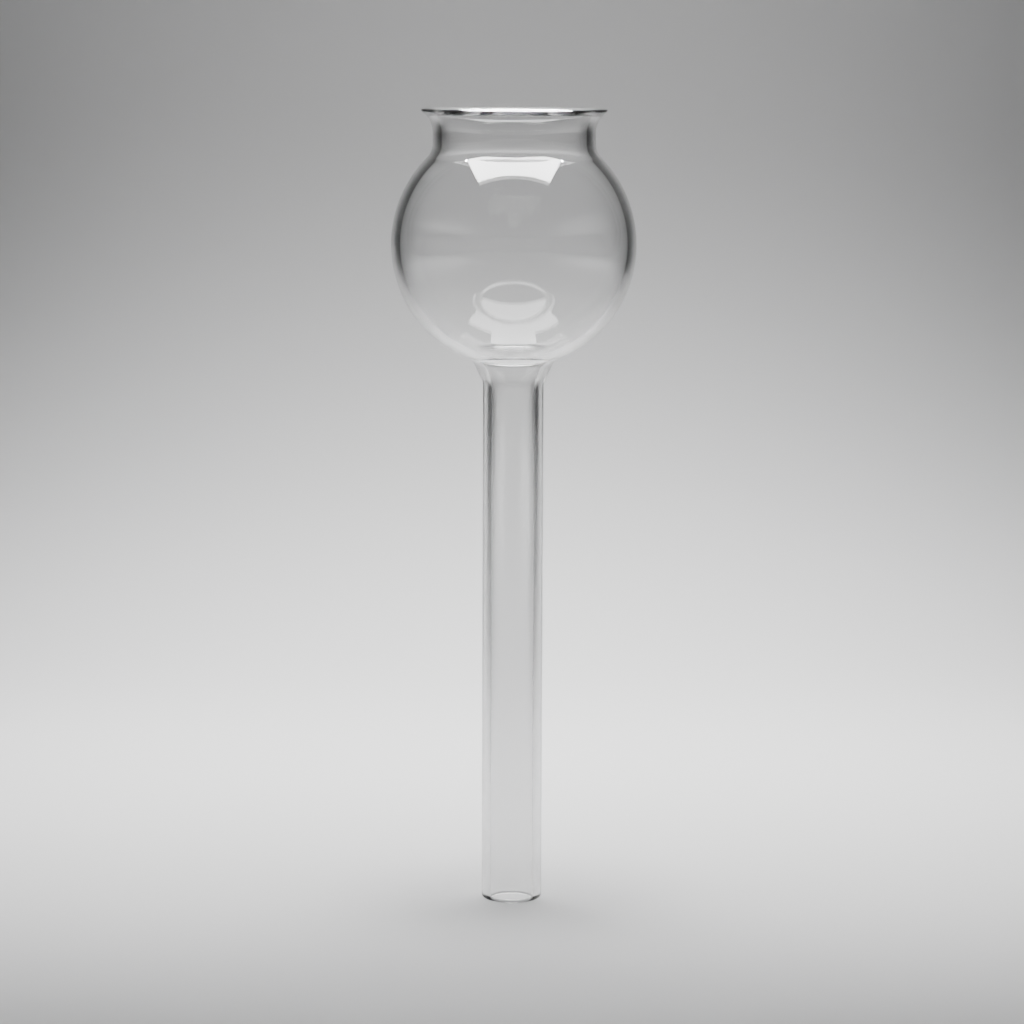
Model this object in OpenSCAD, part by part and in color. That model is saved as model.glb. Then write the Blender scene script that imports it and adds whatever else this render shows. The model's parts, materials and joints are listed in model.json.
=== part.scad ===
// Thistle funnel: one piece of clear laboratory glass. The section of its wall is drawn
// once and turned about Z. The stem's square end stands at Z = 0 and the mouth opens
// upwards. All sizes are in millimetres.

/* [Stem] */
// Outside diameter of the stem tube
stem_d = 10; // [9.6:0.1:10.6]
// Thickness of the glass in the stem, bulb and neck
wall = 1.5; // [1.4:0.05:1.6]
// Height where the stem turns into the cone below the bulb
stem_h = 86.5; // [60:0.1:140]
// Radius of the fire-polished edges at the stem's end
end_r = 0.65; // [0.3:0.05:0.65]

/* [Root of the bulb] */
// Half angle of the short cone between the stem and the bulb
root_angle = 25; // [22:1:28]
// Outside radius where the cone would meet the bulb, were their corner sharp
root_r = 6.75; // [6.6:0.05:7.4]
// Radius that blends the stem into the cone
root_blend = 3; // [1:0.1:3.5]
// Radius of the soft corner between the cone and the bulb, outside
crease_out = 2.2; // [0.5:0.1:2.6]
// Radius of the same corner inside
crease_in = 4; // [1:0.1:4.5]

/* [Bulb] */
// Outside diameter of the bulb
bulb_d = 40.3; // [38:0.1:60]

/* [Mouth] */
// Outside diameter of the neck
neck_d = 26.7; // [24:0.1:27]
// Height of the neck, from the bulb's sphere to the start of the flared lip
neck_h = 3.1; // [2.5:0.1:8]
// Radius that blends the neck into the bulb
neck_blend = 3; // [1:0.1:3.5]
// Outside diameter of the flared lip, before its edges are rounded
lip_d = 32; // [31.6:0.1:32.4]
// Height of the flare outside the mouth, up to the top
lip_h = 3.9; // [3.6:0.1:4.4]
// Inside diameter at the top of the mouth, before its edge is rounded
mouth_d = 26.4; // [26:0.1:26.8]
// Height of the flare inside the mouth
mouth_h = 3.7; // [3.4:0.1:3.9]
// How far the lip's top face falls towards the mouth
lip_drop = 0.3; // [0.1:0.05:0.4]
// Radius of the lip's two fire-polished edges
lip_r = 0.25; // [0.1:0.05:0.3]

/* [Hidden] */
$fn = 180;

stem_r = stem_d / 2;
bore_r = stem_r - wall;
bulb_r = bulb_d / 2;
neck_r = neck_d / 2;

// Centre of the bulb
root_z = stem_h + (root_r - stem_r) / tan(root_angle);
bulb_z = root_z + sqrt(pow(bulb_r, 2) - pow(root_r, 2));
bulb_c = [0, bulb_z];

// Centres of the two blends, shared by the outer and the inner skin of the wall
root_c = [stem_r + root_blend, stem_h - root_blend * tan(root_angle / 2)];
neck_c = [neck_r + neck_blend,
    bulb_z + sqrt(pow(bulb_r + neck_blend, 2) - pow(neck_r + neck_blend, 2))];

// Along the cone, upwards, and square to it, outwards
cone_up = [sin(root_angle), cos(root_angle)];
cone_out = [cos(root_angle), -sin(root_angle)];

// Start of the flared lip and the top of the funnel
neck_top = bulb_z + sqrt(pow(bulb_r, 2) - pow(neck_r, 2)) + neck_h;
top = neck_top + lip_h;

// Radius of an arc that leaves an upright wall at radius r and reaches radius edge after
// it has climbed by rise
function flare_q(r, edge, rise) =
    round(1000 * (pow(edge - r, 2) + pow(rise, 2)) / (2 * (edge - r))) / 1000;
lip_q = flare_q(neck_r, lip_d / 2, lip_h);
lip_c = [neck_r + lip_q, neck_top];
mouth_q = flare_q(neck_r - wall, mouth_d / 2, mouth_h);
mouth_c = [neck_r - wall + mouth_q, top - lip_drop - mouth_h];

// Centre of an edge's rounding: at height z, and at distance q from a flare's centre c
function edge_c(c, q, z) = [c.x - sqrt(pow(q, 2) - pow(z - c.y, 2)), z];
outer_edge = edge_c(lip_c, lip_q + lip_r, top - lip_r);
inner_edge = edge_c(mouth_c, mouth_q - lip_r, top - lip_drop - lip_r);

// Length 1 in the direction of v
function unit(v) = v / norm(v);
face_along = unit(outer_edge - inner_edge);
face_up = lip_r * [-face_along.y, face_along.x];

// Where each flare ends on its edge's rounding
outer_end = outer_edge + lip_r * unit(lip_c - outer_edge);
inner_end = inner_edge + lip_r * unit(inner_edge - mouth_c);

// Centre of the soft corner of radius q that touches both the cone and the bulb, for the
// skin that lies at a depth below the outer surface
function crease_c(depth, q) = let (
        start = root_c - (root_blend + depth - q) * cone_out - bulb_c,
        ahead = start * cone_up,
        span = sqrt(pow(ahead, 2) - start * start + pow(bulb_r - depth + q, 2))
    ) bulb_c + start - (ahead + span) * cone_up;

// A filled outline with an arc of radius q about c cut out of it, for each [c, q] in arcs
module hollowed(points, arcs) {
    difference() {
        polygon(points);
        for (arc = arcs)
            translate(arc[0]) circle(r = arc[1]);
    }
}

// Half section of all that lies inside one skin of the stem, bulb and neck: depth is how
// far that skin lies below the outer surface, and crease is its soft corner's radius
module vessel(depth, crease) {
    r_stem = stem_r - depth;
    r_neck = neck_r - depth;
    q_root = root_blend + depth;
    cone_foot = root_c - q_root * cone_out;
    corner = crease_c(depth, crease);
    cone_end = corner - crease * cone_out;
    ball_end = bulb_c + (bulb_r - depth) * unit(corner - bulb_c);

    hollowed([[0, 0], [r_stem, 0], [r_stem, root_c.y], root_c, cone_foot, cone_end, corner,
        ball_end, bulb_c], [[root_c, q_root], [corner, crease]]);
    translate(bulb_c) circle(r = bulb_r - depth);
    hollowed([bulb_c, neck_c, [r_neck, neck_c.y], [r_neck, neck_top], [0, neck_top]],
        [[neck_c, neck_blend + depth]]);
}

// Half section of the mouth inside its outer flare, up to the lip's top face
module lip_outside() {
    hollowed([[0, lip_c.y], lip_c, outer_end, outer_edge, outer_edge + face_up,
        inner_edge + face_up, inner_edge, inner_end, [0, inner_end.y]], [[lip_c, lip_q]]);
}

// Half section of the hollow inside the inner flare, open at the top
module lip_inside() {
    hollowed([[0, mouth_c.y], mouth_c, inner_end, [0, top]], [[mouth_c, mouth_q]]);
}

// Half section of the stem's end, cut square and rounded by the flame on both edges
module stem_end() {
    translate([bore_r + end_r, 0]) square([wall - 2 * end_r, 2 * end_r]);
    for (r = [bore_r + end_r, stem_r - end_r])
        translate([r, end_r]) circle(r = end_r);
}

// Half section of the whole wall
module wall_section() {
    intersection() {
        difference() {
            union() {
                vessel(0, crease_out);
                lip_outside();
            }
            vessel(wall, crease_in);
            lip_inside();
        }
        translate([0, end_r]) square([bulb_d, top]);
    }
    for (edge = [outer_edge, inner_edge])
        translate(edge) circle(r = lip_r);
    stem_end();
}

module thistle_funnel() {
    color("gainsboro", 0.45)
        rotate_extrude()
            wall_section();
}

thistle_funnel();
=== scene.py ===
import json
import math
import bpy
import numpy as np
from mathutils import Matrix, Vector


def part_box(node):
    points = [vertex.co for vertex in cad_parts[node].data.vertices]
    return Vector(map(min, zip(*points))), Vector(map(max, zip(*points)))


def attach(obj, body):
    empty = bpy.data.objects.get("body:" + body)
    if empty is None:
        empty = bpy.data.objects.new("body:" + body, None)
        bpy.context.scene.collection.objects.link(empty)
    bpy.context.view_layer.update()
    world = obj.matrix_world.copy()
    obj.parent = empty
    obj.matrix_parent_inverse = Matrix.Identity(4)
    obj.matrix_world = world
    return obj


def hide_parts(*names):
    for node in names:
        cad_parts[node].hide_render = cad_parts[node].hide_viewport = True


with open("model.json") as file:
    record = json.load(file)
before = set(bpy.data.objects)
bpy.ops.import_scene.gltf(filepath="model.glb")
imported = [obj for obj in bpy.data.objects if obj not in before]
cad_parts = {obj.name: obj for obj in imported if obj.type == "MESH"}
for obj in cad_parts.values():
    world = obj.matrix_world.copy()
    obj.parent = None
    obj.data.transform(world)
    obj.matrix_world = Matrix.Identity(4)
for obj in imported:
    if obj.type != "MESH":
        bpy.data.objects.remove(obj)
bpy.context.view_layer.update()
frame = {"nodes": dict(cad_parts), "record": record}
mounts = {row["name"]: row for row in frame["record"]["mounts"]}
low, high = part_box("thistle_funnel")
print("stage: frame loaded,", len(frame["nodes"]), "node")


# shared helpers: arcs and lathed skins

def arc(centre, radius, fromAngle, toAngle, count):
    # centre plus radius times (cos t, sin t), with t in degrees from one angle to the other
    t = np.radians(np.linspace(fromAngle, toAngle, count))
    return np.c_[centre[0] + radius * np.cos(t), centre[1] + radius * np.sin(t)]


def heading(fromPoint, toPoint):
    # the angle in degrees, 0 to 360, of the line from one point to another
    return math.degrees(math.atan2(toPoint[1] - fromPoint[1], toPoint[0] - fromPoint[0])) % 360


def split(points, longest):
    # each side of the closed outline is cut into equal steps no longer than the given length
    after = np.roll(points, -1, axis=0)
    steps = np.maximum(1, np.ceil(np.hypot(*(after - points).T) / longest).astype(int))
    start = np.repeat(np.arange(len(points)), steps)
    part = np.arange(steps.sum()) - np.repeat(np.cumsum(steps) - steps, steps)
    share = (part / steps[start])[:, None]
    return points[start] * (1 - share) + after[start] * share


def lathe(name, outline, turns):
    # each outline point (r, z) goes to (r cos a, r sin a, z) at equal angles a round the axis
    angle = np.linspace(0, 2 * np.pi, turns, endpoint=False)[:, None]
    radius, level = outline[:, 0][None, :], outline[:, 1][None, :]
    points = np.stack([radius * np.cos(angle), radius * np.sin(angle), level + 0 * angle], axis=-1)
    count = len(outline)
    row = (np.arange(turns) * count)[:, None]
    nextRow = (np.arange(1, turns + 1) % turns * count)[:, None]
    here = np.arange(count)[None, :]
    above = (here + 1) % count
    quads = np.stack([row + here, nextRow + here, nextRow + above, row + above], axis=-1)
    mesh = bpy.data.meshes.new(name)
    mesh.from_pydata(points.reshape(-1, 3).tolist(), [], quads.reshape(-1, 4).tolist())
    mesh.polygons.foreach_set("use_smooth", np.ones(len(mesh.polygons), bool))
    mesh.update()
    piece = bpy.data.objects.new(name, mesh)
    bpy.context.scene.collection.objects.link(piece)
    return piece


# the funnel: one blown piece of clear glass

funnel = {                        # metres and degrees
    "wall": 0.0015,               # thickness of the tube and the bulb
    "stemHeight": 0.0865,         # straight length of the stem, from its end to where it widens
    "rootAngle": 25,              # how far the root leans out from the axis
    "rootRadius": 0.00675,        # outer radius where the root meets the bulb
    "rootBlend": 0.003,           # radius of the bend from the stem into the root
    "outerCrease": 0.0022,        # radius of the soft corner between root and bulb, outside
    "innerCrease": 0.0040,        # the same corner on the inside
    "neckRadius": 0.01335,        # outer radius of the neck
    "neckBlend": 0.003,           # radius of the bend from the bulb into the neck
    "neckHeight": 0.0031,         # from the bulb's sphere to where the lip starts to flare
    "lipRadius": 0.0160,          # outer radius of the lip
    "lipHeight": 0.0039,          # height of the flare outside
    "mouthRadius": 0.0132,        # inner radius at the top of the mouth
    "mouthHeight": 0.0037,        # height of the flare inside
    "lipDrop": 0.0003,            # how far the lip's top face falls towards the mouth
    "lipRound": 0.00025,          # rounding of the lip's two edges
    "endRound": 0.00065,          # rounding of the stem's fire-polished end
    "turns": 180,                 # facets round the axis
    "longestStep": 0.003,         # longest mesh edge along the stem
}


def rootSkin(size, stemRadius, bulbRadius, bulb, depth, crease):
    # at a depth under the outside: an arc about the blend centre leans the stem out by the root angle,
    # a straight cone follows, and an arc of the crease radius that touches cone and sphere meets the bulb
    lean, reach = math.radians(size["rootAngle"]), size["rootBlend"]
    blend = np.array([stemRadius + reach, size["stemHeight"] - reach * math.tan(lean / 2)])
    along = np.array([math.sin(lean), math.cos(lean)])
    outward = np.array([math.cos(lean), -math.sin(lean)])
    start = blend - (reach + depth - crease) * outward - bulb
    ahead = start @ along
    span = math.sqrt(ahead ** 2 - start @ start + (bulbRadius - depth + crease) ** 2)
    corner = bulb + start - (ahead + span) * along
    skin = [arc(blend, reach + depth, 180, 180 - size["rootAngle"], 14),
            arc(corner, crease, 180 - size["rootAngle"], heading(corner, bulb), 16)]
    return np.vstack(skin), heading(bulb, corner) - 360


def funnelOutline(size, stemRadius, bulbRadius):
    # the wall's section as one closed loop: up the outside, over the lip and down the inside
    wall, tip, end = size["wall"], size["lipRound"], size["endRound"]
    coneHeight = (size["rootRadius"] - stemRadius) / math.tan(math.radians(size["rootAngle"]))
    rootTop = size["stemHeight"] + coneHeight
    bulb = np.array([0, rootTop + math.sqrt(bulbRadius ** 2 - size["rootRadius"] ** 2)])
    neck, blend = size["neckRadius"], size["neckBlend"]
    flareStart = bulb[1] + math.sqrt(bulbRadius ** 2 - neck ** 2) + size["neckHeight"]
    top = flareStart + size["lipHeight"]

    def flare(foot, edge, rise, level):
        # the circle that leaves the neck upright and reaches the edge radius at the given level
        radius = ((edge - foot) ** 2 + rise ** 2) / (2 * (edge - foot))
        return np.array([foot + radius, level - rise]), radius

    def edgeCentre(centre, reach, level):
        # the rounding's centre lies at the given level, at the given reach from the flare's centre
        return np.array([centre[0] - math.sqrt(reach ** 2 - (level - centre[1]) ** 2), level])

    drop = size["lipDrop"]
    outerFlare, outerReach = flare(neck, size["lipRadius"], size["lipHeight"], top)
    innerFlare, innerReach = flare(neck - wall, size["mouthRadius"], size["mouthHeight"], top - drop)
    outerEdge = edgeCentre(outerFlare, outerReach + tip, top - tip)
    innerEdge = edgeCentre(innerFlare, innerReach - tip, top - tip - drop)
    lipFace = heading(innerEdge, outerEdge) + 90
    outerRoot, outerFoot = rootSkin(size, stemRadius, bulbRadius, bulb, 0, size["outerCrease"])
    innerRoot, innerFoot = rootSkin(size, stemRadius, bulbRadius, bulb, wall, size["innerCrease"])
    bend = np.array([neck + blend, bulb[1] + math.sqrt((bulbRadius + blend) ** 2 - (neck + blend) ** 2)])
    bendAngle = heading(bend, bulb)
    shoulder = heading(bulb, bend)
    loop = [
        arc((stemRadius - end, end), end, -90, 0, 10),
        outerRoot,
        arc(bulb, bulbRadius, outerFoot, shoulder, 110)[1:],
        arc(bend, blend, bendAngle, 180, 12)[1:],
        arc(outerFlare, outerReach, 180, heading(outerFlare, outerEdge), 20),
        arc(outerEdge, tip, heading(outerEdge, outerFlare) - 360, lipFace, 9)[1:],
        arc(innerEdge, tip, lipFace, heading(innerFlare, innerEdge), 9),
        arc(innerFlare, innerReach, heading(innerFlare, innerEdge), 180, 20)[1:],
        arc(bend, blend + wall, 180, bendAngle, 12),
        arc(bulb, bulbRadius - wall, shoulder, innerFoot, 110)[1:],
        innerRoot[::-1],
        arc((stemRadius - wall + end, end), end, 180, 270, 10),
    ]
    outline = np.vstack(loop)
    apart = np.hypot(*(outline - np.roll(outline, 1, axis=0)).T) > 1e-8
    return split(outline[apart], size["longestStep"])


def glassMaterial(look):
    # clear glass: the surface waves a little along the drawn tube and has faint clean-cloth haze
    made = bpy.data.materials.new("clearGlass")
    made.use_nodes = True
    nodes, links = made.node_tree.nodes, made.node_tree.links
    shader = nodes["Principled BSDF"]
    shader.inputs["Transmission Weight"].default_value = 1
    shader.inputs["IOR"].default_value = look["ior"]
    place = nodes.new("ShaderNodeTexCoord")
    stretch = nodes.new("ShaderNodeMapping")
    stretch.inputs["Scale"].default_value = look["waveScale"]
    links.new(place.outputs["Object"], stretch.inputs["Vector"])
    wave = nodes.new("ShaderNodeTexNoise")
    wave.inputs["Scale"].default_value = 1
    wave.inputs["Detail"].default_value = 1
    links.new(stretch.outputs["Vector"], wave.inputs["Vector"])
    bump = nodes.new("ShaderNodeBump")
    bump.inputs["Strength"].default_value = look["waveStrength"]
    bump.inputs["Distance"].default_value = look["waveDepth"]
    links.new(wave.outputs["Fac"], bump.inputs["Height"])
    links.new(bump.outputs["Normal"], shader.inputs["Normal"])
    haze = nodes.new("ShaderNodeTexNoise")
    haze.inputs["Scale"].default_value = look["hazeScale"]
    haze.inputs["Detail"].default_value = 4
    links.new(place.outputs["Object"], haze.inputs["Vector"])
    rough = nodes.new("ShaderNodeMapRange")
    rough.inputs["From Min"].default_value = look["hazeFrom"]
    rough.inputs["From Max"].default_value = look["hazeFull"]
    rough.inputs["To Min"].default_value = look["roughLow"]
    rough.inputs["To Max"].default_value = look["roughHigh"]
    links.new(haze.outputs["Fac"], rough.inputs["Value"])
    links.new(rough.outputs["Result"], shader.inputs["Roughness"])
    tint = nodes.new("ShaderNodeMix")
    tint.data_type = "RGBA"
    tint.inputs["A"].default_value = look["clear"]
    tint.inputs["B"].default_value = look["dense"]
    links.new(haze.outputs["Fac"], tint.inputs["Factor"])
    links.new(tint.outputs["Result"], shader.inputs["Base Color"])
    return made


glass = {
    "ior": 1.47,
    "waveScale": (60, 60, 14),    # waves are longer along the axis, as the tube was drawn
    "waveStrength": 0.35,
    "waveDepth": 0.00002,
    "hazeScale": 55,
    "hazeFrom": 0.45,             # noise level where the haze starts
    "hazeFull": 0.75,             # noise level where it is at its strongest
    "roughLow": 0.0,
    "roughHigh": 0.012,
    "clear": (0.992, 0.992, 0.992, 1),
    "dense": (0.978, 0.978, 0.978, 1),
}

stemRadius = mounts["stem"]["dims"]["r_mm"] / 1000
bulbRadius = high.x
thistleFunnel = lathe("thistleFunnel", funnelOutline(funnel, stemRadius, bulbRadius), funnel["turns"])
thistleFunnel.data.materials.append(glassMaterial(glass))
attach(thistleFunnel, "root")
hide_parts("thistle_funnel")
print("stage: funnel made,", len(thistleFunnel.data.polygons), "faces")


# the studio: a pale floor that sweeps up behind, soft lights and the camera

backdrop = {                      # metres
    "front": -1.5,                # nearest edge of the floor
    "bend": 0.18,                 # where the floor starts to curve up, behind the funnel
    "radius": 0.30,               # radius of that curve
    "top": 1.2,                   # height of the wall
    "width": 1.6,
    "strips": 8,                  # faces across the sheet
    "colour": (0.40, 0.40, 0.40),
    "roughness": 0.9,
    "toothScale": 900,            # the paper's fine tooth: its scale, strength and depth
    "toothStrength": 0.05,
    "toothDepth": 0.0002,
}


def sweepSheet(size):
    # a flat floor, then an arc of the given radius, then a wall: each point of that line runs across in x
    curve = arc((size["bend"], size["radius"]), size["radius"], -90, 0, 60)
    line = np.vstack([[(size["front"], 0)], curve, [(size["bend"] + size["radius"], size["top"])]])
    across = np.linspace(-size["width"] / 2, size["width"] / 2, size["strips"] + 1)
    points = np.stack([across[:, None] + 0 * line[:, 0], 0 * across[:, None] + line[:, 0],
                       0 * across[:, None] + line[:, 1]], axis=-1)
    count = len(line)
    row, here = (np.arange(size["strips"]) * count)[:, None], np.arange(count - 1)[None, :]
    quads = np.stack([row + here, row + count + here, row + count + here + 1, row + here + 1], axis=-1)
    mesh = bpy.data.meshes.new("paperSweep")
    mesh.from_pydata(points.reshape(-1, 3).tolist(), [], quads.reshape(-1, 4).tolist())
    mesh.polygons.foreach_set("use_smooth", np.ones(len(mesh.polygons), bool))
    mesh.update()
    sheet = bpy.data.objects.new("paperSweep", mesh)
    bpy.context.scene.collection.objects.link(sheet)
    return sheet


def paperMaterial(look):
    # matt paper with a fine tooth
    made = bpy.data.materials.new("palePaper")
    made.use_nodes = True
    nodes, links = made.node_tree.nodes, made.node_tree.links
    shader = nodes["Principled BSDF"]
    shader.inputs["Base Color"].default_value = (*look["colour"], 1)
    shader.inputs["Roughness"].default_value = look["roughness"]
    shader.inputs["Specular IOR Level"].default_value = 0
    place = nodes.new("ShaderNodeTexCoord")
    tooth = nodes.new("ShaderNodeTexNoise")
    tooth.inputs["Scale"].default_value = look["toothScale"]
    links.new(place.outputs["Object"], tooth.inputs["Vector"])
    bump = nodes.new("ShaderNodeBump")
    bump.inputs["Strength"].default_value = look["toothStrength"]
    bump.inputs["Distance"].default_value = look["toothDepth"]
    links.new(tooth.outputs["Fac"], bump.inputs["Height"])
    links.new(bump.outputs["Normal"], shader.inputs["Normal"])
    return made


paper = sweepSheet(backdrop)
paper.data.materials.append(paperMaterial(backdrop))

lights = {                        # place, aim, width and depth in metres, watts; "seen": glass or paper
    "softbox": {"at": (0, -0.028, 0.41), "size": (0.34, 0.185), "watts": 15, "seen": "glass"},
    "rearBox": {"at": (0, 0.105, 0.41), "size": (0.36, 0.085), "watts": 34, "seen": "glass"},
    "rearStrip": {"at": (0, 0.30, 0.41), "size": (0.15, 0.32), "watts": 55, "seen": "glass"},
    "front": {"at": (0, -0.044, 0.40), "size": (0.34, 0.204), "watts": 0.44, "spread": 100, "seen": "paper"},
    "pool": {"at": (0, 0.05, 0.39), "size": (0.30, 0.20), "watts": 0.365, "spread": 30, "seen": "paper"},
    "floor": {"at": (0, 0.18, 0.40), "size": (0.30, 0.20), "watts": 1.33, "spread": 60, "seen": "paper"},
    "wall": {"at": (0, 0.03, 0.10), "aim": (0, 0.48, 0.10), "size": (0.20, 0.10), "watts": 0.245,
             "spread": 60, "seen": "paper"},
    "left": {"at": (-0.5, -0.15, 0.35), "size": (0.30, 0.60), "watts": 4.1, "spread": 70, "seen": "paper"},
    "right": {"at": (0.5, -0.15, 0.35), "size": (0.30, 0.60), "watts": 4.1, "spread": 70, "seen": "paper"},
}
for name, light in lights.items():
    data = bpy.data.lights.new(name, "AREA")
    data.shape = "RECTANGLE"
    data.size, data.size_y = light["size"]
    data.energy = light["watts"]
    data.spread = math.radians(light.get("spread", 180))
    lamp = bpy.data.objects.new(name, data)
    bpy.context.scene.collection.objects.link(lamp)
    lamp.location = light["at"]
    below = (light["at"][0], light["at"][1], 0)
    aim = Vector(light.get("aim", below)) - Vector(light["at"])
    lamp.rotation_euler = aim.to_track_quat("-Z", "Y").to_euler()
    lamp.visible_camera = False
    lamp.visible_diffuse = light["seen"] == "paper"
    lamp.visible_glossy = lamp.visible_transmission = light["seen"] == "glass"

surround = (0.06, 0.06, 0.06, 1)    # the dim room, which gives the bulb its dark sides
world = bpy.data.worlds.new("studio")
bpy.context.scene.world = world
world.use_nodes = True
world.node_tree.nodes["Background"].inputs["Color"].default_value = surround

cameraSet = {                     # metres, millimetres and degrees
    "lens": 126.6,
    "distance": 0.5902,           # in front of the axis
    "height": 0.1435,
    "down": 7.57,                 # pitch under the horizontal
    "roll": 0.22,
    "shift": -0.0008,
}
data = bpy.data.cameras.new("camera")
data.sensor_width = 36
data.lens = cameraSet["lens"]
data.shift_x = cameraSet["shift"]
data.clip_start = 0.01
camera = bpy.data.objects.new("camera", data)
bpy.context.scene.collection.objects.link(camera)
camera.matrix_world = (Matrix.Translation((0, -cameraSet["distance"], cameraSet["height"]))
                       @ Matrix.Rotation(math.radians(90 - cameraSet["down"]), 4, "X")
                       @ Matrix.Rotation(math.radians(cameraSet["roll"]), 4, "Z"))
bpy.context.scene.camera = camera
print("stage: studio made,", len(lights), "lights")

turnsOfLight = 24                 # light runs along inside the glass, so it may turn often
rays = bpy.context.scene.cycles
rays.max_bounces = rays.glossy_bounces = rays.transmission_bounces = turnsOfLight
